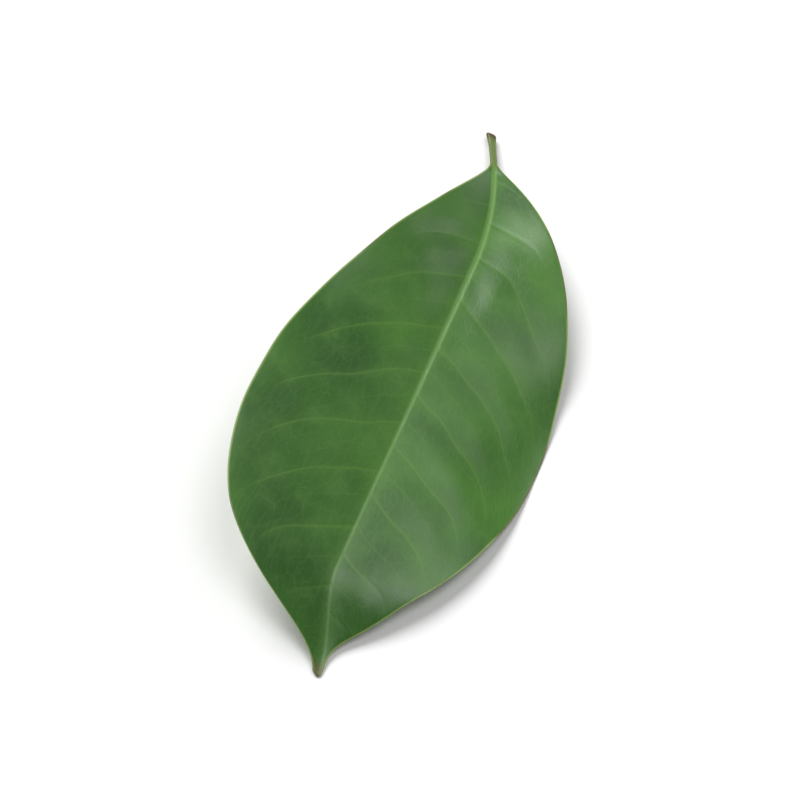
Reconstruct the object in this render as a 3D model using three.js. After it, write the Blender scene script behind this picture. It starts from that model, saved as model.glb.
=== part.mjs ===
// A soursop leaf, picked with its short stalk, lying face up on a flat surface.
// Millimetres, +Z up. Its tip points along -Y and its stalk along +Y. The blade, the midrib and the stalk
// grew as one piece, so they are one closed skin: a section across the leaf, swept from stalk to tip.

import * as THREE from 'three';
import { ParametricGeometry } from 'three/addons/geometries/ParametricGeometry.js';
import { mergeVertices } from 'three/addons/utils/BufferGeometryUtils.js';

const { clamp, degToRad, lerp, smoothstep } = THREE.MathUtils;

// The outline. Fractions run along the blade, from its base at 0 to its tip at 1. The left half lies on
// the -X side.
const BLADE_LENGTH = 138;
const STALK_LENGTH = 10;
const LEAF_LENGTH = BLADE_LENGTH + STALK_LENGTH;
const APEX_AT = 0.945;
const APEX_SOFTNESS = 0.012;
const DRIP_TIP_HALF_WIDTH = 0.5;
const DRIP_TIP_GROWS_FROM = 0.9;
const EDGE_STRAY = 0.004;
const SLOW_STRAYS = 3.3;
const FAST_STRAYS = 7.1;

// The two halves of the blade. The higher its base taper, the more a half narrows towards the stalk. Each
// half folds up from the midrib, then curls over towards its edge, and the curl fades towards the tip.
const LEFT = {
  halfWidth: 33,
  widestAt: 0.65,
  baseTaper: 1.05,
  fold: degToRad(15),
  curl: 2,
  wavePhase: 0.65,
};
const RIGHT = {
  halfWidth: 31.5,
  widestAt: 0.54,
  baseTaper: 0.98,
  fold: degToRad(5),
  curl: 4.8,
  wavePhase: 0.3,
};
const FOLD_AT_BASE = degToRad(30);
const FOLD_EASES_BY = 0.45;
const FOLD_ROUNDING = 1.1;
const CURL_POWER = 2.4;
const CURL_FADES_FROM = 0.45;
const EDGE_WAVE_HEIGHT = 0.8;
const EDGE_WAVES = 2.6;
const WAVES_GROW_FROM = 0.1;
const WAVES_GROW_UNTIL = 0.3;
const WAVES_FADE_FROM = 0.85;

// How the midrib bends along the leaf: an arch with its crest nearer the base, where it bends down most,
// and a drooping tip. Seen from above, the tip swings towards +X and the stalk bends towards -X.
const ARCH_HEIGHT = 5.5;
const ARCH_SKEW = 0.45;
const BASE_DROOP = 6;
const BASE_BENDS_OVER = 0.3;
const TIP_DROOP = 4.4;
const TIP_SWING = 6;
const TIP_BENDS_FROM = 0.84;
const STALK_SLOPE = 0.2;
const STALK_SWING = 9;
const STALK_BENDS_OVER = 45;
const TWIST = degToRad(4);

// Thicknesses. The midrib stands out below the blade and thins towards the tip.
const BLADE_THICKNESS = 0.36;
const RIB_AT_BASE = 0.95;
const RIB_AT_TIP = 0.3;
const RIB_SPREAD = 1.1;
const EDGE_SHARPNESS = 10;
const STALK_RADIUS = 0.95;
const STALK_END_RADIUS = 1.3;
const STALK_SWELLS_OVER = 2.5;
const STALK_FLATNESS = 0.8;
const WING_GROWS_BY = 0.03;
const STALK_FADES_BY = 0.2;
const ROUNDED_END = 0.7;

// The turns that bring it to rest on its tip, the end of its stalk and its right edge.
const REST_PITCH = degToRad(-0.557);
const REST_ROLL = degToRad(14.387);

// How finely the skin is divided. Its steps are closer together towards both ends, the midrib and the
// edges, where it bends most.
const AROUND = 64;
const LENGTHWISE = 60;
const END_CROWDING = 0.9;
const RIB_CROWDING = 1.5;

// A wave between -1 and 1 that repeats after every whole turn.
function wave(turns) {
  return Math.sin(2 * Math.PI * turns);
}

// How much of the blade is left before its apex. Past the apex it fades to nothing instead of ending.
function leftBeforeApex(along) {
  return APEX_SOFTNESS * Math.log(1 + Math.exp((APEX_AT - along) / APEX_SOFTNESS));
}

// The edge strays a little from a smooth line, as a grown edge does.
function edgeStray(along, half) {
  const slow = wave(SLOW_STRAYS * along + half.wavePhase);
  const fast = wave(FAST_STRAYS * along - half.wavePhase);
  return 1 + EDGE_STRAY * (slow + fast / 2);
}

// A hump that is 0 at the base and full at its widest. It fades away past the apex, and so it is drawn out
// there into the narrow tip that lets rain drip off.
function bladeHalfWidth(along, half) {
  if (along <= 0) {
    return 0;
  }
  const apexTaper = half.baseTaper * (APEX_AT - half.widestAt) / half.widestAt;
  const rise = (along / half.widestAt) ** half.baseTaper;
  const fall = (leftBeforeApex(along) / leftBeforeApex(half.widestAt)) ** apexTaper;
  return half.halfWidth * rise * fall * edgeStray(along, half);
}

function stalkRadius(reach) {
  const swelling = Math.exp(-((reach / STALK_SWELLS_OVER) ** 2));
  return lerp(STALK_RADIUS, STALK_END_RADIUS, swelling);
}

// 0 at the two ends of the leaf and 1 a little way in, so that the skin closes there in a round end.
function closing(reach) {
  const nearestEnd = Math.min(reach, LEAF_LENGTH - reach);
  const into = Math.min(nearestEnd / ROUNDED_END, 1);
  return Math.sqrt(1 - (1 - into) ** 2);
}

function midribHeight(along) {
  const place = clamp(along, 0, 1);
  const skewed = place + ARCH_SKEW * place * (1 - place);
  const arch = 4 * ARCH_HEIGHT * skewed * (1 - skewed);
  const tipDroop = TIP_DROOP * smoothstep(along, TIP_BENDS_FROM, 1);
  const baseDroop = BASE_DROOP * (1 - smoothstep(along, -BASE_BENDS_OVER, BASE_BENDS_OVER));
  const stalkDrop = STALK_SLOPE * Math.max(-along * BLADE_LENGTH, 0);
  return arch - tipDroop - baseDroop - stalkDrop;
}

function midribSideways(along) {
  const fromStalkEnd = along * BLADE_LENGTH + STALK_LENGTH;
  const bent = Math.max(1 - fromStalkEnd / STALK_BENDS_OVER, 0);
  return TIP_SWING * smoothstep(along, TIP_BENDS_FROM, 1) - STALK_SWING * bent ** 2;
}

// How far the middle of the blade's thickness stands above the midrib, at a distance to its side.
function sideLift(along, distance, across, half) {
  const nearBase = 1 - smoothstep(along, 0, FOLD_EASES_BY);
  const fold = lerp(half.fold, FOLD_AT_BASE, nearBase);
  const folded = Math.tan(fold) * (Math.hypot(distance, FOLD_ROUNDING) - FOLD_ROUNDING);
  const curlLeft = 1 - smoothstep(along, CURL_FADES_FROM, 1);
  const curled = half.curl * curlLeft * (Math.abs(distance) / half.halfWidth) ** CURL_POWER;
  const grown = smoothstep(along, WAVES_GROW_FROM, WAVES_GROW_UNTIL);
  const awayFromEnds = grown * (1 - smoothstep(along, WAVES_FADE_FROM, 1));
  const waving = awayFromEnds * across ** 2 * wave(EDGE_WAVES * along + half.wavePhase);
  return folded - curled + EDGE_WAVE_HEIGHT * waving;
}

// How far the skin stands from the middle of the thickness: a round stalk that flattens into the blade.
function skinOffset(along, reach, distance, across, upper) {
  const round = Math.sqrt(1 - across ** 2);
  const edge = Math.sqrt(1 - Math.abs(across) ** EDGE_SHARPNESS);
  const wing = smoothstep(along, 0, WING_GROWS_BY);
  const half = BLADE_THICKNESS / 2;
  if (upper) {
    return lerp(STALK_FLATNESS * stalkRadius(reach) * round, half * edge, wing);
  }
  const rib = lerp(RIB_AT_BASE, RIB_AT_TIP, clamp(along, 0, 1));
  const ribShare = Math.exp(-((distance / (RIB_SPREAD * rib)) ** 2));
  return -lerp(stalkRadius(reach) * round, (half + rib * ribShare) * edge, wing);
}

// A point of the skin. around goes once round the section: the upper side from the right edge to the
// left edge, then the under side back. lengthwise goes from the stalk's end to the tip.
function skinPoint(around, lengthwise, target) {
  const crowding = END_CROWDING * wave(lengthwise) / (2 * Math.PI);
  const reach = LEAF_LENGTH * (lengthwise - crowding);
  const along = (reach - STALK_LENGTH) / BLADE_LENGTH;
  const upper = around < 0.5;
  const step = upper ? 1 - 4 * around : 4 * around - 3;
  const across = Math.sin(Math.PI / 2 * Math.sign(step) * Math.abs(step) ** RIB_CROWDING);
  const half = across > 0 ? RIGHT : LEFT;

  const blade = bladeHalfWidth(along, half);
  const stalk = stalkRadius(reach) * (1 - smoothstep(along, 0, STALK_FADES_BY));
  const dripTip = DRIP_TIP_HALF_WIDTH * smoothstep(along, DRIP_TIP_GROWS_FROM, 1);
  const distance = across * Math.hypot(blade, stalk, dripTip) * closing(reach);
  const middle = sideLift(along, distance, across, half);
  const height = middle + closing(reach) * skinOffset(along, reach, distance, across, upper);
  const turn = TWIST * (along - 0.5);
  target.set(
    midribSideways(along) + distance * Math.cos(turn) + height * Math.sin(turn),
    LEAF_LENGTH / 2 - reach,
    midribHeight(along) + height * Math.cos(turn) - distance * Math.sin(turn),
  );
}

// Turns the leaf to its rest, centres it over the origin and sets its lowest point on the ground.
function layDown(geometry) {
  geometry.rotateX(REST_PITCH);
  geometry.rotateY(REST_ROLL);
  geometry.computeBoundingBox();
  const box = geometry.boundingBox;
  const centre = box.getCenter(new THREE.Vector3());
  geometry.translate(-centre.x, -centre.y, -box.min.z);
}

function makeLeaf() {
  const skin = new ParametricGeometry(skinPoint, AROUND, LENGTHWISE);
  skin.deleteAttribute('normal');
  skin.deleteAttribute('uv');
  const geometry = mergeVertices(skin);
  layDown(geometry);
  geometry.computeVertexNormals();
  const glossyGreen = new THREE.MeshStandardMaterial({ color: 0x3f6b34, roughness: 0.42, metalness: 0 });
  const leaf = new THREE.Mesh(geometry, glossyGreen);
  leaf.name = 'leaf';
  return leaf;
}

const soursopLeaf = new THREE.Group();
soursopLeaf.add(makeLeaf());

export default soursopLeaf;
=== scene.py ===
# %% [markdown]
# # A soursop leaf
#
# This lesson makes one glossy soursop leaf that lies face up on a pale floor. A leaf looks like a
# flat green shape, but what makes it real is its form: two halves that fold up from the midrib, an
# arch from stalk to tip, and a soft swelling between every two side veins. The form comes first, as a
# mesh, and the finish follows it, because every line of the finish belongs to a vein or an edge of
# the form.
#
# The leaf's plain solid is already there as a fixed frame. The detailed leaf takes its place in that
# frame, at the same size.

# %% The frame
import math

import bmesh
import bpy
from mathutils import Color, Matrix, Vector, noise


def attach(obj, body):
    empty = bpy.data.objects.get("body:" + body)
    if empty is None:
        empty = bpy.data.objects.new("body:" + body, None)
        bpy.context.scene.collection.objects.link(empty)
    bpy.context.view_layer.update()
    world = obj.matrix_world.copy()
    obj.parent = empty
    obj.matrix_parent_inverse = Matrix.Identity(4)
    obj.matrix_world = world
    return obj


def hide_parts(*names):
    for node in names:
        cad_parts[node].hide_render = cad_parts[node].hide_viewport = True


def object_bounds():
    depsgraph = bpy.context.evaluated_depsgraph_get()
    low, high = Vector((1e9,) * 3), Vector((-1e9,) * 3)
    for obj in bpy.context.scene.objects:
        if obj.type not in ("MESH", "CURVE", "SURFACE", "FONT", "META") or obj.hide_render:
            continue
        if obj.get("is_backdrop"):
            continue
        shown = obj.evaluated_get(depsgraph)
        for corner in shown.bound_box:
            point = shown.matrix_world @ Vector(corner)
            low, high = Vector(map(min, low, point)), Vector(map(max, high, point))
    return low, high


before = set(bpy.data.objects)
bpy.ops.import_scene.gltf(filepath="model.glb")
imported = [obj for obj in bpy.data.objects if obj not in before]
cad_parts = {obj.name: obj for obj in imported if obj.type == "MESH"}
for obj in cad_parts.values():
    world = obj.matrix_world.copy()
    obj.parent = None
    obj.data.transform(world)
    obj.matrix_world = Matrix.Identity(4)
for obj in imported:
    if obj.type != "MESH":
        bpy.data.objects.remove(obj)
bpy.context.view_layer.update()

# %% [markdown]
# ## The outline
#
# A leaf's outline could be drawn by hand as a curve. A formula is better here, because the veins and
# the edge must follow it exactly: a hump that is 0 at the base and full at its widest. Past the apex
# it fades away instead of ending, which draws it out into the narrow tip that lets rain drip off. The
# left half is a little wider than the right one, and widest nearer the tip, and the edge strays a
# little from a smooth line, since nothing that grew is quite even.

# %% The outline's sizes
MM = 0.001
BLADE_LENGTH = 138 * MM
STALK_LENGTH = 10 * MM
LEAF_LENGTH = BLADE_LENGTH + STALK_LENGTH
APEX_AT = 0.945
APEX_SOFTNESS = 0.012
DRIP_TIP_HALF_WIDTH = 0.5 * MM
DRIP_TIP_GROWS_FROM = 0.9
EDGE_STRAY = 0.004
SLOW_STRAYS = 3.3
FAST_STRAYS = 7.1
LEFT = {
    "half_width": 33 * MM, "widest_at": 0.65, "base_taper": 1.05,
    "fold": math.radians(15), "curl": 2 * MM,
    "wave_phase": 0.65, "vein_shift": 0.45,
}
RIGHT = {
    "half_width": 31.5 * MM, "widest_at": 0.54, "base_taper": 0.98,
    "fold": math.radians(5), "curl": 4.8 * MM,
    "wave_phase": 0.3, "vein_shift": 0.0,
}
PLACES_TRIED = 100


def within(value, low, high):
    return min(max(value, low), high)


def mix(first, second, share):
    return first + (second - first) * share


def ease(value, start, end):
    """Goes softly from 0 at start to 1 at end."""
    share = within((value - start) / (end - start), 0, 1)
    return share * share * (3 - 2 * share)


def wave(turns):
    """A wave between -1 and 1 that repeats after every whole turn."""
    return math.sin(2 * math.pi * turns)


def left_before_apex(along):
    """How much of the blade is left before its apex, fading to nothing past it."""
    return APEX_SOFTNESS * math.log(1 + math.exp((APEX_AT - along) / APEX_SOFTNESS))


def blade_half_width(along, half):
    """The width of the left or right half of the blade, at a fraction of the blade's length."""
    if along <= 0:
        return 0
    apex_taper = half["base_taper"] * (APEX_AT - half["widest_at"]) / half["widest_at"]
    rise = (along / half["widest_at"]) ** half["base_taper"]
    fall = (left_before_apex(along) / left_before_apex(half["widest_at"])) ** apex_taper
    slow_stray = wave(SLOW_STRAYS * along + half["wave_phase"])
    fast_stray = wave(FAST_STRAYS * along - half["wave_phase"])
    stray = 1 + EDGE_STRAY * (slow_stray + fast_stray / 2)
    return half["half_width"] * rise * fall * stray


places = [step / PLACES_TRIED for step in range(PLACES_TRIED + 1)]
widest = max(blade_half_width(place, LEFT) + blade_half_width(place, RIGHT) for place in places)
print(f"the blade is {BLADE_LENGTH / MM:.0f} mm long and {widest / MM:.1f} mm wide")

# %% [markdown]
# ## The bends
#
# Cloth simulation could drape a sheet into a leaf, but a leaf isn't limp: its ribs hold it in a form
# that it grew into. So the bends are formulas too. Lengthwise, the midrib is an arch whose crest lies
# nearer the base, and the tip droops. Crosswise, each half folds up from the midrib, most strongly
# near the base, then curls over towards its edge, which waves a little. The curl fades towards the
# tip.

# %% The midrib's line
ARCH_HEIGHT = 5.5 * MM
ARCH_SKEW = 0.45
BASE_DROOP = 6 * MM
BASE_BENDS_OVER = 0.3
TIP_DROOP = 4.4 * MM
TIP_SWING = 6 * MM
TIP_BENDS_FROM = 0.84
STALK_SLOPE = 0.2
STALK_SWING = 9 * MM
STALK_BENDS_OVER = 45 * MM


def midrib_height(along):
    """How high the midrib stands at a fraction of the blade's length."""
    place = within(along, 0, 1)
    skewed = place + ARCH_SKEW * place * (1 - place)
    arch = 4 * ARCH_HEIGHT * skewed * (1 - skewed)
    tip_droop = TIP_DROOP * ease(along, TIP_BENDS_FROM, 1)
    base_droop = BASE_DROOP * (1 - ease(along, -BASE_BENDS_OVER, BASE_BENDS_OVER))
    stalk_drop = STALK_SLOPE * max(-along * BLADE_LENGTH, 0)
    return arch - tip_droop - base_droop - stalk_drop


def midrib_sideways(along):
    """How far the midrib strays to the right at a fraction of the blade's length."""
    from_stalk_end = along * BLADE_LENGTH + STALK_LENGTH
    bent = max(1 - from_stalk_end / STALK_BENDS_OVER, 0)
    return TIP_SWING * ease(along, TIP_BENDS_FROM, 1) - STALK_SWING * bent ** 2


print(f"the midrib's crest is {max(midrib_height(place) for place in places) / MM:.1f} mm high")

# %% The fold, curl and wave of the halves
FOLD_AT_BASE = math.radians(30)
FOLD_EASES_BY = 0.45
FOLD_ROUNDING = 1.1 * MM
CURL_POWER = 2.4
CURL_FADES_FROM = 0.45
EDGE_WAVE_HEIGHT = 0.8 * MM
EDGE_WAVES = 2.6
WAVES_GROW_FROM = 0.1
WAVES_GROW_UNTIL = 0.3
WAVES_FADE_FROM = 0.85
HALFWAY = 0.5


def side_lift(along, distance, across, half):
    """How far the blade stands above the midrib, at a distance to its side."""
    near_base = 1 - ease(along, 0, FOLD_EASES_BY)
    fold = mix(half["fold"], FOLD_AT_BASE, near_base)
    folded = math.tan(fold) * (math.hypot(distance, FOLD_ROUNDING) - FOLD_ROUNDING)
    curl_left = 1 - ease(along, CURL_FADES_FROM, 1)
    curled = half["curl"] * curl_left * (abs(distance) / half["half_width"]) ** CURL_POWER
    grown = ease(along, WAVES_GROW_FROM, WAVES_GROW_UNTIL)
    away_from_ends = grown * (1 - ease(along, WAVES_FADE_FROM, 1))
    waving = away_from_ends * across ** 2 * wave(EDGE_WAVES * along + half["wave_phase"])
    return folded - curled + EDGE_WAVE_HEIGHT * waving


edge_lifts = [side_lift(HALFWAY, half["half_width"], 1, half) / MM for half in (LEFT, RIGHT)]
print("halfway along, the left and right edges stand", *(f"{lift:.1f} mm" for lift in edge_lifts), "up")

# %% [markdown]
# ## The veins
#
# A side vein leaves the midrib at about sixty degrees, bends towards the tip and runs out just inside
# the edge, where it would join its neighbour. The veins could be drawn one at a time, as curves. Here
# one number, the vein phase, grows by 1 from each vein to the next, and a vein's middle is wherever
# the phase is a whole number and a half. The mesh and the finish share that number, so the ridges and
# the pale lines can't come apart. Noise of two sizes keeps the veins from being evenly spaced and
# quite smooth, and the two sides are shifted, as the veins of most leaves alternate. Each use of the
# noise has a layer of its own, so that no two of them swell in the same places.

# %% The vein phase
VEIN_PAIRS = 10.5
VEIN_SPACING = BLADE_LENGTH / VEIN_PAIRS
VEIN_LEAN = 0.55
VEIN_GAP = VEIN_SPACING * math.cos(math.atan(VEIN_LEAN))
VEIN_BEND = 0.004 / MM
VEIN_LOOP = 0.8
LOOP_SHARPNESS = 4
VEIN_UNEVENNESS = 0.26
UNEVENNESS_SIZE = 26 * MM
VEIN_WIGGLE = 0.07
WIGGLE_SIZE = 8 * MM
UNEVENNESS_LAYER = 0
WIGGLE_LAYER = 3


def soft_noise(along, distance, size, layer):
    """Smooth noise from about -1 to 1 over the flattened blade, with swellings of about a given size."""
    return noise.noise(Vector((distance / size, along * BLADE_LENGTH / size, layer)))


def vein_phase(along, distance, across, half):
    """Grows by 1 from each side vein to the next one towards the tip."""
    side = abs(distance)
    forwards = VEIN_LEAN * side + VEIN_BEND * side ** 2
    uneven = VEIN_UNEVENNESS * soft_noise(along, distance, UNEVENNESS_SIZE, UNEVENNESS_LAYER)
    wiggle = VEIN_WIGGLE * soft_noise(along, distance, WIGGLE_SIZE, WIGGLE_LAYER)
    looped = VEIN_LOOP * abs(across) ** LOOP_SHARPNESS * side / half["half_width"]
    return (along * BLADE_LENGTH - forwards) / VEIN_SPACING - looped + uneven + wiggle + half["vein_shift"]


def from_vein(phase):
    """The distance to the nearest side vein, in metres."""
    return abs(phase % 1 - HALFWAY) * VEIN_GAP


print(f"side veins leave the midrib every {VEIN_SPACING / MM:.1f} mm and lie {VEIN_GAP / MM:.1f} mm apart")

# %% [markdown]
# ## The thickness
#
# A blade is about a third of a millimetre thick. It is as thin as card, but it still has two sides
# and an edge, and the midrib stands well out of the under side, where it carries the blade like a
# keel. Towards the stalk that keel grows into a round rod. On the upper side the midrib and the side
# veins lie in shallow grooves, and the blade swells between the veins like a quilt. Soft dents of
# three sizes keep it from looking pressed. A name below with two numbers in brackets says where
# something starts and where it is complete.

# %% The smooth skin
BLADE_THICKNESS = 0.36 * MM
RIB_AT_BASE = 0.95 * MM
RIB_AT_TIP = 0.3 * MM
RIB_SPREAD = 1.1
EDGE_SHARPNESS = 10
STALK_RADIUS = 0.95 * MM
STALK_END_RADIUS = 1.3 * MM
STALK_SWELLS_OVER = 2.5 * MM
STALK_FLATNESS = 0.8
WING_GROWS_BY = 0.03
STALK_FADES_BY = 0.2
ROUNDED_END = 0.7 * MM


def stalk_radius(reach):
    """The stalk's radius, at a distance from its broken end."""
    swelling = math.exp(-((reach / STALK_SWELLS_OVER) ** 2))
    return mix(STALK_RADIUS, STALK_END_RADIUS, swelling)


def closing(reach):
    """0 at the two ends of the leaf and 1 a little way in, so that the skin closes there in a round end."""
    into = within(min(reach, LEAF_LENGTH - reach) / ROUNDED_END, 0, 1)
    return math.sqrt(1 - (1 - into) ** 2)


def skin_offset(along, reach, distance, across, upper):
    """How far the smooth skin stands from the middle of the blade's thickness."""
    round_share = math.sqrt(max(1 - across ** 2, 0))
    edge_share = math.sqrt(max(1 - abs(across) ** EDGE_SHARPNESS, 0))
    wing = ease(along, 0, WING_GROWS_BY)
    if upper:
        stalk_top = STALK_FLATNESS * stalk_radius(reach) * round_share
        return mix(stalk_top, BLADE_THICKNESS / 2 * edge_share, wing)
    rib = mix(RIB_AT_BASE, RIB_AT_TIP, within(along, 0, 1))
    rib_share = math.exp(-((distance / (RIB_SPREAD * rib)) ** 2))
    blade_under = (BLADE_THICKNESS / 2 + rib * rib_share) * edge_share
    return -mix(stalk_radius(reach) * round_share, blade_under, wing)


print(f"the blade and its midrib are {(BLADE_THICKNESS + RIB_AT_BASE) / MM:.2f} mm thick at the base")

# %% The relief of the veins
VEINS_FADE_ACROSS = (0.5, 0.92)
VEINS_GROW_ALONG = (0.0, 0.08)
VEINS_FADE_ALONG = (0.85, 0.97)
SWELLS_FROM_MIDRIB = (1 * MM, 8 * MM)
QUILT_HEIGHT = 0.18 * MM
QUILT_FULLNESS = 0.7
QUILT_VARIES_BY = 0.8
QUILT_VARIES_OVER = 30 * MM
QUILT_LAYER = 9
DENT_HEIGHTS_BY_SIZE = {34 * MM: 0.8 * MM, 13 * MM: 0.22 * MM, 6 * MM: 0.06 * MM}
DENTS_GROW_ALONG = (0.05, 0.2)
DENTS_FADE_ALONG = (0.9, 1)
DENT_LAYER = 5
VEIN_GROOVE = 0.05 * MM
VEIN_RIDGE = 0.17 * MM
VEIN_RIDGE_THINS_BY = 0.6
VEIN_HALF_WIDTH = 0.42 * MM
RIB_GROOVE = 0.16 * MM
RIB_GROOVE_HALF_WIDTH = 0.55 * MM
RIB_GROOVE_GROWS_ALONG = (0.0, 0.06)
RIB_GROOVE_FADES_ALONG = (0.5, 0.98)


def vein_strength(along, across):
    """1 over most of the blade, fading towards its edge and its two ends."""
    inside_edge = 1 - ease(abs(across), *VEINS_FADE_ACROSS)
    return inside_edge * ease(along, *VEINS_GROW_ALONG) * (1 - ease(along, *VEINS_FADE_ALONG))


def relief(along, distance, across, phase, upper):
    """What the veins, the swellings between them and some soft dents add to the skin's height."""
    strength = vein_strength(along, across)
    unevenness = soft_noise(along, distance, QUILT_VARIES_OVER, QUILT_LAYER)
    fullness = QUILT_FULLNESS + QUILT_VARIES_BY * unevenness
    quilt = QUILT_HEIGHT * fullness * ((1 + math.cos(2 * math.pi * phase)) / 2) * strength
    dents = 0
    for size, height in DENT_HEIGHTS_BY_SIZE.items():
        dents += height * soft_noise(along, distance, size, DENT_LAYER)
    dents *= ease(along, *DENTS_GROW_ALONG) * (1 - ease(along, *DENTS_FADE_ALONG))
    sheet = (quilt + dents) * ease(abs(distance), *SWELLS_FROM_MIDRIB)
    vein_share = math.exp(-((from_vein(phase) / VEIN_HALF_WIDTH) ** 2)) * strength
    if upper:
        rib_share = math.exp(-((distance / RIB_GROOVE_HALF_WIDTH) ** 2)) * (1 - across ** 2)
        rib_groove = RIB_GROOVE * rib_share * ease(along, *RIB_GROOVE_GROWS_ALONG)
        rib_groove *= 1 - ease(along, *RIB_GROOVE_FADES_ALONG)
        return sheet - VEIN_GROOVE * vein_share - rib_groove
    return sheet - VEIN_RIDGE * vein_share * (1 - VEIN_RIDGE_THINS_BY * abs(across))


print(f"the blade swells {QUILT_HEIGHT / MM:.2f} mm between its veins")

# %% [markdown]
# ## The mesh
#
# Each side of the leaf starts as a flat grid, and every point of the grid is moved onto the leaf. The
# grid's columns crowd towards the midrib and the edges, and its rows towards the two ends, where the
# leaf bends most. The two sides meet at the edge, so merging the points that fall together closes the
# skin.
#
# While the points are placed, each one also keeps what the finish will need: where it lies across and
# along the leaf, how far it is from the edge, its vein phase, and whether it is on the under side.

# %% Moving a grid onto the leaf
ACROSS = 96
LENGTHWISE = 420
END_CROWDING = 0.8
RIB_CROWDING = 1.5
TWIST = math.radians(4)
KEPT = ("across", "reach", "edge", "phase", "under")


def skin_point(step_across, step_along, upper):
    """A point of the skin from its two places in the grid, -1 to 1 and 0 to 1, and what it keeps."""
    crowding = END_CROWDING * wave(step_along) / (2 * math.pi)
    reach = LEAF_LENGTH * (step_along - crowding)
    along = (reach - STALK_LENGTH) / BLADE_LENGTH
    bent_step = math.copysign(abs(step_across) ** RIB_CROWDING, step_across)
    across = math.sin(math.pi / 2 * bent_step)
    half = RIGHT if across > 0 else LEFT

    stalk = stalk_radius(reach) * (1 - ease(along, 0, STALK_FADES_BY))
    drip_tip = DRIP_TIP_HALF_WIDTH * ease(along, DRIP_TIP_GROWS_FROM, 1)
    half_width = math.hypot(blade_half_width(along, half), stalk, drip_tip) * closing(reach)
    distance = across * half_width
    phase = vein_phase(along, distance, across, half)
    offset = skin_offset(along, reach, distance, across, upper)
    offset += relief(along, distance, across, phase, upper)
    height = side_lift(along, distance, across, half) + closing(reach) * offset
    turn = TWIST * (along - 0.5)
    place = Vector((
        midrib_sideways(along) + distance * math.cos(turn) + height * math.sin(turn),
        LEAF_LENGTH / 2 - reach,
        midrib_height(along) + height * math.cos(turn) - distance * math.sin(turn),
    ))
    return place, (distance, reach, half_width - abs(distance), phase, 0.0 if upper else 1.0)


def add_side(skin, upper):
    """Adds one side of the leaf to a bmesh, as a grid that is moved onto it."""
    keeps = [skin.verts.layers.float[name] for name in KEPT]
    grid = bmesh.ops.create_grid(skin, x_segments=ACROSS, y_segments=LENGTHWISE, size=1)
    for point in grid["verts"]:
        place, values = skin_point(point.co.x, (1 - point.co.y) / 2, upper)
        point.co = place
        for layer, value in zip(keeps, values):
            point[layer] = value


# %% Both sides, joined at the edge
MERGE_WITHIN = 1e-7

skin = bmesh.new()
for name in KEPT:
    skin.verts.layers.float.new(name)
add_side(skin, upper=True)
add_side(skin, upper=False)
bmesh.ops.remove_doubles(skin, verts=skin.verts, dist=MERGE_WITHIN)
bmesh.ops.recalc_face_normals(skin, faces=skin.faces)
for face in skin.faces:
    face.smooth = True
open_edges = sum(1 for edge in skin.edges if len(edge.link_faces) != 2)
print("the leaf's skin has", len(skin.faces), "faces and", open_edges, "open edges")

# %% [markdown]
# ## Laying it down
#
# A fallen leaf comes to rest on three points. This one lies on its tip, on the end of its stalk and
# on its right edge, so it is turned until those three touch the floor, and then dropped onto it.

# %% Turning the leaf to its rest
REST_PITCH = math.radians(-0.557)
REST_ROLL = math.radians(14.387)

rest = Matrix.Rotation(REST_ROLL, 4, "Y") @ Matrix.Rotation(REST_PITCH, 4, "X")
bmesh.ops.transform(skin, matrix=rest, verts=skin.verts)
lows = [min(point.co[axis] for point in skin.verts) for axis in range(3)]
highs = [max(point.co[axis] for point in skin.verts) for axis in range(3)]
drop = Vector((-(lows[0] + highs[0]) / 2, -(lows[1] + highs[1]) / 2, -lows[2]))
bmesh.ops.translate(skin, vec=drop, verts=skin.verts)
print("the leaf was moved by", *(f"{part / MM:.2f} mm" for part in drop))

# %% [markdown]
# ## A map for baking
#
# The finish doesn't need a map, since it reads what the points keep. A flat map is still useful to
# anyone who bakes the finish into pictures, and a leaf is easy to flatten: its upper side lies on the
# left of the map and its under side on the right, both at the same scale.

# %% The bake map
MAP_HEIGHT = 0.98
MAP_MIDDLES = (0.25, 0.75)

bake_map = skin.loops.layers.uv.new("OFBake")
across_kept, reach_kept, _, _, under_kept = (skin.verts.layers.float[name] for name in KEPT)
for face in skin.faces:
    is_under = sum(corner.vert[under_kept] for corner in face.loops) / len(face.loops) > 0.5
    for corner in face.loops:
        sideways = corner.vert[across_kept] / LEAF_LENGTH * MAP_HEIGHT
        upwards = (1 - MAP_HEIGHT) / 2 + corner.vert[reach_kept] / LEAF_LENGTH * MAP_HEIGHT
        corner[bake_map].uv = (MAP_MIDDLES[is_under] + (sideways if not is_under else -sideways), upwards)
print("each side of the leaf has its own half of the map")

# %% The finished mesh
mesh = bpy.data.meshes.new("soursop_leaf")
skin.to_mesh(mesh)
skin.free()
leaf = bpy.data.objects.new("soursop_leaf", mesh)
bpy.context.scene.collection.objects.link(leaf)
print("the leaf has", sum(len(face.vertices) - 2 for face in mesh.polygons), "triangles")

# %% [markdown]
# ## Shader maths as Python
#
# A finish is a net of nodes. Added one by one they would hide what they mean, so a small class wraps
# the output of a node, and Python's own operators on it add the Math nodes. Any other node comes from
# one method, which takes the node's type, its settings, and the values or links of its sockets.

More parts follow.
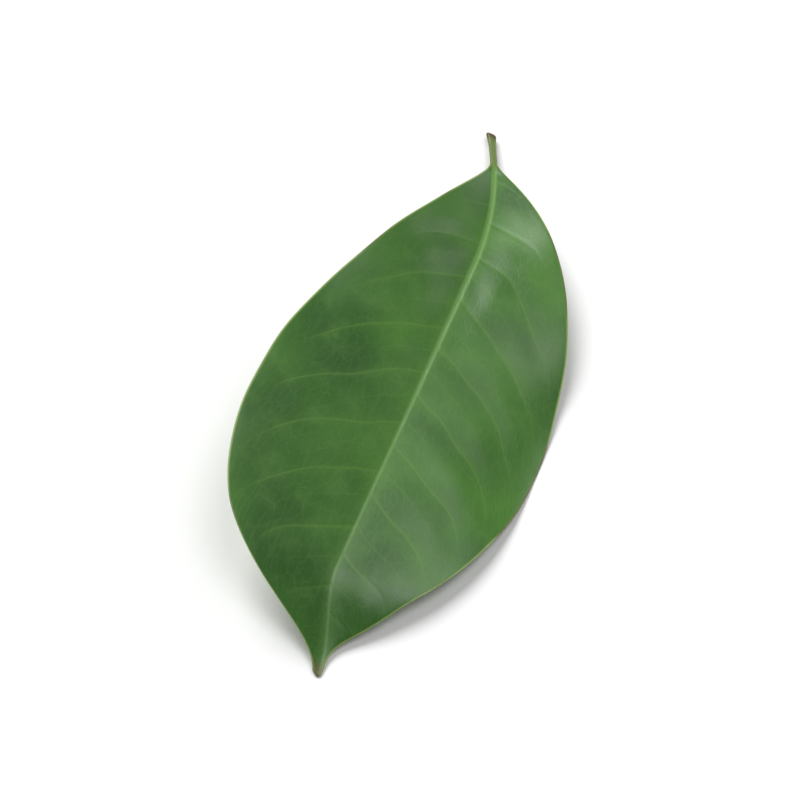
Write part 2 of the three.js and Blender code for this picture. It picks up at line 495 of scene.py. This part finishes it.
# %% A wire and a net
class Wire:
    """What comes out of a node: a number, colour or vector that changes over the surface."""

    def __init__(self, net, socket):
        self.net = net
        self.socket = socket

    def maths(self, operation, *values):
        inputs = dict(enumerate(values))
        return self.net.node("ShaderNodeMath", {"operation": operation}, inputs)

    def __add__(self, other):
        return self.maths("ADD", self, other)

    def __radd__(self, other):
        return self.maths("ADD", other, self)

    def __sub__(self, other):
        return self.maths("SUBTRACT", self, other)

    def __rsub__(self, other):
        return self.maths("SUBTRACT", other, self)

    def __mul__(self, other):
        return self.maths("MULTIPLY", self, other)

    def __rmul__(self, other):
        return self.maths("MULTIPLY", other, self)

    def __truediv__(self, other):
        return self.maths("DIVIDE", self, other)

    def __mod__(self, other):
        return self.maths("FLOORED_MODULO", self, other)

    def __abs__(self):
        return self.maths("ABSOLUTE", self)


class Net:
    """The nodes of one material."""

    def __init__(self, name):
        self.material = bpy.data.materials.new(name)
        self.material.use_nodes = True
        self.material.node_tree.nodes.clear()

    def node(self, kind, settings=None, inputs=None, output=0):
        """Adds a node, with its settings first and then the values or links of its sockets."""
        tree = self.material.node_tree
        made = tree.nodes.new(kind)
        for name, value in (settings or {}).items():
            setattr(made, name, value)
        for name, value in (inputs or {}).items():
            if isinstance(value, Wire):
                tree.links.new(value.socket, made.inputs[name])
            else:
                made.inputs[name].default_value = value
        return Wire(self, made.outputs[output]) if made.outputs else made

    def kept(self, name):
        """A number that the mesh's points keep."""
        return self.node("ShaderNodeAttribute", {"attribute_name": name}, output="Fac")

    def ramp(self, value, start, end):
        """Goes softly from 0 where the value is start to 1 where it is end."""
        inputs = {"Value": value, "From Min": start, "From Max": end}
        return self.node("ShaderNodeMapRange", {"interpolation_type": "SMOOTHSTEP"}, inputs)

    def blend(self, under, over, share):
        """A colour that goes from one to another."""
        factor, first, second, result = 0, 6, 7, 2
        inputs = {factor: share, first: under, second: over}
        return self.node("ShaderNodeMix", {"data_type": "RGBA"}, inputs, output=result)

    def cloud(self, place, size, detail=2.0):
        """Soft noise from 0 to 1 with patches of about a given size."""
        inputs = {"Vector": place, "Scale": 1 / size, "Detail": detail}
        return self.node("ShaderNodeTexNoise", {"noise_dimensions": "3D"}, inputs)


FULL_PART = 255


def colour(*parts):
    """A display colour, its red, green and blue from 0 to 255, as the light that it stands for."""
    shown = Color([part / FULL_PART for part in parts])
    return (*shown.from_srgb_to_scene_linear(), 1.0)


WHITE = colour(FULL_PART, FULL_PART, FULL_PART)
print("white is", *(f"{part:.3f}" for part in WHITE[:3]))

# %% [markdown]
# ## The places that the finish follows
#
# The finish has a few layers, and most lie where something grew: the midrib, the side veins, the
# fine net of the smallest veins, the edge, the stalk and the tip. One more darkens the blade towards
# its tip with painted shade. Each becomes a mask, a number that is 1 on it and 0 elsewhere, and soft
# noise over the flattened leaf varies the rest. Here too, two numbers in brackets say where a mask
# starts and where it is complete. A vein's mask needs no formula of its own: the one that placed the
# ridges works on wires as well.

# %% What the points keep
leaf_finish = Net("leaf_skin")
blend, ramp = leaf_finish.blend, leaf_finish.ramp
across = leaf_finish.kept("across")
reach = leaf_finish.kept("reach")
from_edge = leaf_finish.kept("edge")
phase = leaf_finish.kept("phase")
under = leaf_finish.kept("under")

flat_place = leaf_finish.node("ShaderNodeCombineXYZ", {}, {"X": across, "Y": reach, "Z": under})
along = (reach - STALK_LENGTH) / BLADE_LENGTH
from_midrib = abs(across)
print("the finish reads", ", ".join(KEPT))

# %% The masks
MIDRIB_HALF_WIDTH = 0.7 * MM
MIDRIB_NARROWS_BY = 0.45 * MM
MIDRIB_BORDER = (0.3 * MM, -0.3 * MM)
MIDRIB_GLOW = (3 * MM, 0.5 * MM)
VEIN_LINE = (0.45 * MM, 0.08 * MM)
VEIN_GLOW = (2.4 * MM, 0.2 * MM)
VEINS_INSIDE_EDGE = (2 * MM, 10 * MM)
VEINS_BEFORE_TIP = (0.97, 0.8)
BETWEEN_LINE = (0.35 * MM, 0.05 * MM)
BETWEEN_NEAR_MIDRIB = (20 * MM, 6 * MM)
EDGE_LINE = (0.55 * MM, 0.12 * MM)
STALK_PLACE = (0.03, -0.01)
BROKEN_END = (3.2 * MM, 0.6 * MM)
# Painted shade: where the blade towards its tip is darkened, standing in for the shade the drooping tip
# lies in.
PAINTED_TIP_SHADE = (0.78, 1.0)
DRY_TIP = (0.972, 0.995)

midrib = ramp(from_midrib - (MIDRIB_HALF_WIDTH - MIDRIB_NARROWS_BY * along), *MIDRIB_BORDER)
midrib_glow = ramp(from_midrib, *MIDRIB_GLOW)

vein_gap = from_vein(phase)
vein_reach = ramp(from_edge, *VEINS_INSIDE_EDGE) * ramp(along, *VEINS_BEFORE_TIP)
vein = ramp(vein_gap, *VEIN_LINE) * vein_reach
vein_glow = ramp(vein_gap, *VEIN_GLOW) * vein_reach
between_reach = vein_reach * ramp(from_midrib, *BETWEEN_NEAR_MIDRIB)
between_vein = ramp(from_vein(phase + HALFWAY), *BETWEEN_LINE) * between_reach

edge_line = ramp(from_edge, *EDGE_LINE)
stalk = ramp(along, *STALK_PLACE)
stalk_end = ramp(reach, *BROKEN_END)
# The mask of the painted shade towards the tip.
painted_tip_shade = ramp(along, *PAINTED_TIP_SHADE)
dry_tip = ramp(along, *DRY_TIP)
print("the finish follows", len(leaf_finish.material.node_tree.nodes), "nodes of masks")

# %% The smallest veins and the soft patches
NET_CELL = 1.9 * MM
NET_LINE = 0.08
NET_SQUEEZE = 0.55
FINE_CELL = 0.7 * MM
FINE_LINE = 0.18
STRAY = 0.9
STRAY_SCALE = 0.8
STRAY_DETAIL = 3.0
BROAD_PATCH = 30 * MM
PATCH_SHIFT = (6 * MM, 4 * MM, 300 * MM)
SMALL_PATCH = 6 * MM
SMALL_PATCH_DETAIL = 4
GRAIN = 0.5 * MM


def vein_net(place, cell, line):
    """The lines between the cells of a cracked pattern, as the smallest veins lie."""
    wobble_inputs = {"Vector": place, "Scale": STRAY_SCALE / cell, "Detail": STRAY_DETAIL}
    wobble = leaf_finish.node("ShaderNodeTexNoise", {}, wobble_inputs, output="Color")
    strayed = leaf_finish.node(
        "ShaderNodeVectorMath",
        {"operation": "MULTIPLY_ADD"},
        {0: wobble, 1: (cell * STRAY, cell * STRAY, 0), 2: place},
    )
    inputs = {"Vector": strayed, "Scale": 1 / cell}
    gap = leaf_finish.node("ShaderNodeTexVoronoi", {"feature": "DISTANCE_TO_EDGE"}, inputs)
    return ramp(gap, line, 0)


ladder_place = leaf_finish.node(
    "ShaderNodeCombineXYZ", {}, {"X": across, "Y": phase * (VEIN_SPACING * NET_SQUEEZE), "Z": under}
)
net = vein_net(ladder_place, NET_CELL, NET_LINE)
fine_net = vein_net(flat_place, FINE_CELL, FINE_LINE)
patch_place = leaf_finish.node("ShaderNodeMapping", {}, {"Vector": flat_place, "Location": PATCH_SHIFT})
broad_patches = leaf_finish.cloud(patch_place, BROAD_PATCH)
small_patches = leaf_finish.cloud(flat_place, SMALL_PATCH, SMALL_PATCH_DETAIL)
grain = leaf_finish.cloud(flat_place, GRAIN)
print(f"the cells of the two nets are {NET_CELL / MM:.1f} and {FINE_CELL / MM:.1f} mm wide")

# %% [markdown]
# ## The colour
#
# The upper side is a deep green, lighter and yellower in patches, and towards the tip it is darkened
# further with painted shade, for the shade that the drooping tip lies in. It has a pale midrib, faint
# side veins and a thin line along the edge, pale green or brownish. The under side has less green in
# it and is much paler. The stalk goes brown where it broke from the twig, and the very tip is dry. The
# layers are blended one over another, and each has a share that says how strongly it shows.

# %% The colours
DEEP_GREEN = colour(38, 84, 21)
MID_GREEN = colour(67, 117, 36)
BRIGHT_GREEN = colour(82, 129, 46)
MIDRIB_GREEN = colour(108, 150, 76)
VEIN_GREEN = colour(90, 134, 50)
EDGE_GREEN = colour(150, 172, 96)
EDGE_BROWN = colour(104, 88, 50)
UNDER_GREEN = colour(112, 142, 82)
UNDER_PALE = colour(140, 164, 106)
UNDER_VEIN = colour(172, 186, 128)
STALK_GREEN = colour(104, 118, 62)
STALK_BROWN = colour(86, 68, 42)
TIP_BROWN = colour(96, 84, 46)
print("the deep green is", *(f"{part:.3f}" for part in DEEP_GREEN[:3]))

# %% The layers of both sides
BROAD_CHANGE = (0.3, 0.7)
BRIGHT_SPOTS = (0.45, 0.85)
PALE_SPOTS = (0.3, 0.7)
BROWN_EDGE = (0.5, 0.62)
# The share named for the tip is painted shade, not a colour that the leaf has.
ON_TOP = {
    "bright spots": 0.4, "painted tip shade": 0.5, "vein glow": 0.09, "net": 0.12, "fine net": 0.05,
    "between": 0.15, "veins": 0.33, "midrib glow": 0.25, "midrib": 0.85, "midrib fades": 0.55,
}
BELOW = {"pale spots": 0.5, "net": 0.3, "fine net": 0.1, "between": 0.35, "veins": 0.75}
ON_BOTH = {"edge": 0.8, "stalk": 0.8, "dry tip": 0.7}

top = blend(DEEP_GREEN, MID_GREEN, ramp(broad_patches, *BROAD_CHANGE))
top = blend(top, BRIGHT_GREEN, ramp(small_patches, *BRIGHT_SPOTS) * ON_TOP["bright spots"])
# Painted shade: the upper side is blended towards deep green near the tip, for the shade it lies in.
top = blend(top, DEEP_GREEN, painted_tip_shade * ON_TOP["painted tip shade"])
top = blend(top, VEIN_GREEN, vein_glow * ON_TOP["vein glow"])
top = blend(top, VEIN_GREEN, net * ON_TOP["net"] + fine_net * ON_TOP["fine net"])
top = blend(top, VEIN_GREEN, between_vein * ON_TOP["between"])
top = blend(top, VEIN_GREEN, vein * ON_TOP["veins"])
top = blend(top, BRIGHT_GREEN, midrib_glow * ON_TOP["midrib glow"])
top = blend(top, MIDRIB_GREEN, midrib * (ON_TOP["midrib"] - along * ON_TOP["midrib fades"]))

bottom = blend(UNDER_GREEN, UNDER_PALE, ramp(small_patches, *PALE_SPOTS) * BELOW["pale spots"])
bottom = blend(bottom, UNDER_VEIN, net * BELOW["net"] + fine_net * BELOW["fine net"])
bottom = blend(bottom, UNDER_VEIN, between_vein * BELOW["between"])
bottom = blend(bottom, UNDER_VEIN, vein * BELOW["veins"])
bottom = blend(bottom, UNDER_VEIN, midrib)

leaf_colour = blend(top, bottom, under)
edge_colour = blend(EDGE_GREEN, EDGE_BROWN, ramp(broad_patches, *BROWN_EDGE))
leaf_colour = blend(leaf_colour, edge_colour, edge_line * (1 - stalk) * ON_BOTH["edge"])
leaf_colour = blend(leaf_colour, STALK_GREEN, stalk * ON_BOTH["stalk"])
leaf_colour = blend(leaf_colour, STALK_BROWN, stalk_end)
leaf_colour = blend(leaf_colour, TIP_BROWN, dry_tip * ON_BOTH["dry tip"])
print("the colour has", len(leaf_finish.material.node_tree.nodes), "nodes behind it")

# %% [markdown]
# ## The gloss
#
# A waxy layer makes the upper side satin: it shows soft broad highlights and no sharp reflections.
# The under side has almost no gloss. The finest relief is too small for the mesh, so it comes from a
# bump: a very fine grain, and the net of small veins, which is sunk above and raised below.

# %% The roughness and the bump
TOP_ROUGHNESS = 0.29
PATCHES_ROUGHEN = 0.16
NET_ROUGHENS = 0.05
MIDRIB_SMOOTHS = 0.02
UNDER_ROUGHNESS = 0.68
BROKEN_END_ROUGHENS = 0.2
BUMP_DEPTH = 0.1 * MM
TOP_NET_SINKS = 0.07
TOP_FINE_NET_SINKS = 0.045
UNDER_NET_RISES = 0.9
UNDER_FINE_NET_RISES = 0.4
GRAIN_RISES = 0.12

patchy = small_patches * PATCHES_ROUGHEN + net * NET_ROUGHENS
top_roughness = TOP_ROUGHNESS + patchy - midrib * MIDRIB_SMOOTHS
roughness = top_roughness + under * (UNDER_ROUGHNESS - top_roughness) + stalk_end * BROKEN_END_ROUGHENS
sunk = net * TOP_NET_SINKS + fine_net * TOP_FINE_NET_SINKS
raised = net * UNDER_NET_RISES + fine_net * UNDER_FINE_NET_RISES
bump_height = under * raised - (1 - under) * sunk + grain * GRAIN_RISES
bump = leaf_finish.node(
    "ShaderNodeBump", {}, {"Strength": 1.0, "Distance": BUMP_DEPTH, "Height": bump_height}
)
print(f"a bump height of 1 stands for {BUMP_DEPTH / MM:.1f} mm")

# %% The shader
WAX = 0.2

shader = leaf_finish.node(
    "ShaderNodeBsdfPrincipled",
    {},
    {
        "Base Color": leaf_colour,
        "Roughness": roughness,
        "Normal": bump,
        "Coat Weight": (1 - under) * WAX,
        "Coat Roughness": 0.25,
        "IOR": 1.45,
        "Subsurface Weight": 0.12,
        "Subsurface Radius": (0.6, 1.0, 0.3),
        "Subsurface Scale": 0.6 * MM,
    },
)
leaf_finish.node("ShaderNodeOutputMaterial", {}, {"Surface": shader})
leaf.data.materials.append(leaf_finish.material)
print("the whole finish has", len(leaf_finish.material.node_tree.nodes), "nodes")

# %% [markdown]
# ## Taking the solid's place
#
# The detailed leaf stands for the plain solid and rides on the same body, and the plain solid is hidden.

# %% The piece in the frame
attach(leaf, "root")
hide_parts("leaf")
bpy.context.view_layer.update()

# %% [markdown]
# ## Floor, light and camera
#
# A leaf on a white table under broad soft lamps throws a soft shadow that is darkest where it
# touches. The key lamp shines from the left and from behind, and gives the leaf most of its light. It
# leaves the drooping tip the darkest place, and shows the fold and the arch. The other three lamps
# are there to be mirrored by the satin skin: one by the flatter half, one nearer its edge, and one by
# the edge that curls down. The surroundings are dim, because whatever is bright there would be
# mirrored as a grey veil over the deep green, and only the camera sees the pale backdrop behind the
# table.

# %% The floor
FLOOR_SIZE = 6.0

floor_mesh = bpy.data.meshes.new("floor")
sheet = bmesh.new()
bmesh.ops.create_grid(sheet, x_segments=1, y_segments=1, size=FLOOR_SIZE / 2)
sheet.to_mesh(floor_mesh)
sheet.free()
floor = bpy.data.objects.new("floor", floor_mesh)
bpy.context.scene.collection.objects.link(floor)
floor_finish = Net("white_table")
matt_white = floor_finish.node(
    "ShaderNodeBsdfPrincipled", {}, {"Base Color": (0.9, 0.9, 0.9, 1), "Roughness": 0.9}
)
floor_finish.node("ShaderNodeOutputMaterial", {}, {"Surface": matt_white})
floor.data.materials.append(floor_finish.material)
floor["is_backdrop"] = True
print("the floor is", FLOOR_SIZE, "m wide")

# %% The lamps
LAMPS = {
    "key": {"direction": (-0.53, 0.42, 0.8), "width": 36, "strength": 2.8},
    "softbox": {"direction": (0.25, 0.45, 0.85), "width": 26, "strength": 0.12},
    "sheen": {"direction": (0.28, 0.08, 0.95), "width": 28, "strength": 0.85},
    "side_sheen": {"direction": (0.8, 0.58, 0.3), "width": 26, "strength": 0.4},
}


def add_lamp(name, direction, width, strength):
    """A round lamp, some degrees wide as the leaf sees it, and so far away that the floor is lit evenly."""
    lamp = bpy.data.lights.new(name, "SUN")
    lamp.angle = math.radians(width)
    lamp.energy = strength
    holder = bpy.data.objects.new(name, lamp)
    holder.location = direction
    holder.rotation_euler = Vector(direction).to_track_quat("Z", "Y").to_euler()
    bpy.context.scene.collection.objects.link(holder)


for name, lamp in LAMPS.items():
    add_lamp(name, **lamp)
print("the lamps are", ", ".join(LAMPS))

# %% The surroundings
SURROUNDINGS = 0.16
BACKDROP = 1.0

world = bpy.data.worlds.new("studio")
world.use_nodes = True
nodes, links = world.node_tree.nodes, world.node_tree.links
surroundings = nodes["Background"]
surroundings.inputs["Color"].default_value = WHITE
surroundings.inputs["Strength"].default_value = SURROUNDINGS
backdrop = nodes.new("ShaderNodeBackground")
backdrop.inputs["Color"].default_value = WHITE
backdrop.inputs["Strength"].default_value = BACKDROP
ray = nodes.new("ShaderNodeLightPath")
either = nodes.new("ShaderNodeMixShader")
links.new(ray.outputs["Is Camera Ray"], either.inputs["Fac"])
links.new(surroundings.outputs["Background"], either.inputs[1])
links.new(backdrop.outputs["Background"], either.inputs[2])
links.new(either.outputs["Shader"], nodes["World Output"].inputs["Surface"])
bpy.context.scene.world = world
bpy.context.scene.view_settings.view_transform = "Standard"
print("the surroundings' strength is", SURROUNDINGS, "and the backdrop's", BACKDROP)

# %% The camera
AZIMUTH = math.radians(21)
ELEVATION = math.radians(57)
DISTANCE = 0.48
LENS = 100
AIM_OFFSET = Vector((-2 * MM, -12 * MM, 0))

low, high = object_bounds()
back = Vector((
    math.sin(AZIMUTH) * math.cos(ELEVATION),
    -math.cos(AZIMUTH) * math.cos(ELEVATION),
    math.sin(ELEVATION),
))
camera_data = bpy.data.cameras.new("camera")
camera_data.lens = LENS
camera = bpy.data.objects.new("camera", camera_data)
camera.location = (low + high) / 2 + AIM_OFFSET + back * DISTANCE
camera.rotation_euler = (-back).to_track_quat("-Z", "Y").to_euler()
bpy.context.scene.collection.objects.link(camera)
bpy.context.scene.camera = camera
print("the camera stands", DISTANCE, "m from the leaf")
